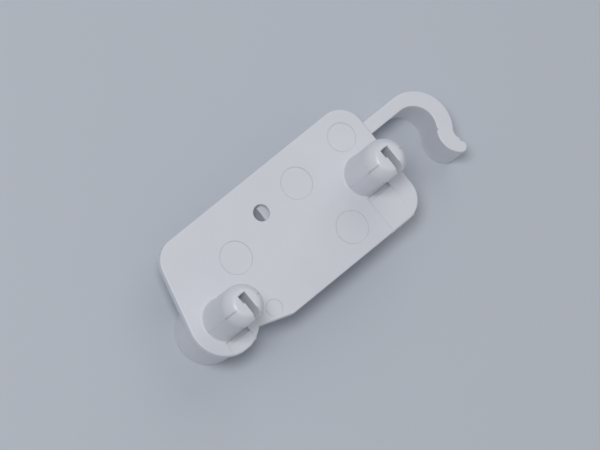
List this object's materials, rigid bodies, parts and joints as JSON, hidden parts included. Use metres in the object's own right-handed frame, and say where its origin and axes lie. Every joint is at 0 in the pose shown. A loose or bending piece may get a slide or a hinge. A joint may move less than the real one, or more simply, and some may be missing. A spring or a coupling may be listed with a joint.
{
  "type": "stair gate latch",
  "caption": "White moulded gate latch: a plug-in mounting plate with pegs and a screw hole, and a sprung S-shaped hook lever that swings on a pivot under one peg.",
  "frame": {"origin": "axis of the fixing screw hole, on the plate's mounting face", "axes": "+Z out of the mounting face, the way the pegs point; +X along the plate from the pivot end to the hook; +Y the way the hook lifts"},
  "size_m": [0.0849, 0.0307, 0.0322],
  "materials": {
    "plate_plastic": "white moulded polymer, semi-gloss",
    "lever_plastic": "white moulded polymer, semi-gloss",
    "spring_steel": "drawn spring wire",
    "zinc_steel": "bright zinc plate"
  },
  "bodies": {
    "plate": {"mounting_plate": "plate_plastic", "return_spring": "spring_steel", "pivot_screw": "zinc_steel", "pivot_washer": "zinc_steel"},
    "lever": {"hook_lever": "lever_plastic", "hub_cap": "lever_plastic"}
  },
  "joints": [
    {"name": "hook_swing", "type": "hinge", "parent": "plate", "child": "lever", "pos_m": [-0.0235, -0.0134, -0.009], "axis": [0, 0, 1], "range_deg": [0, 40], "stiffness_Nm_per_rad": 0.03, "springref_deg": -68.75, "deforming": ["return_spring"]}
  ]
}
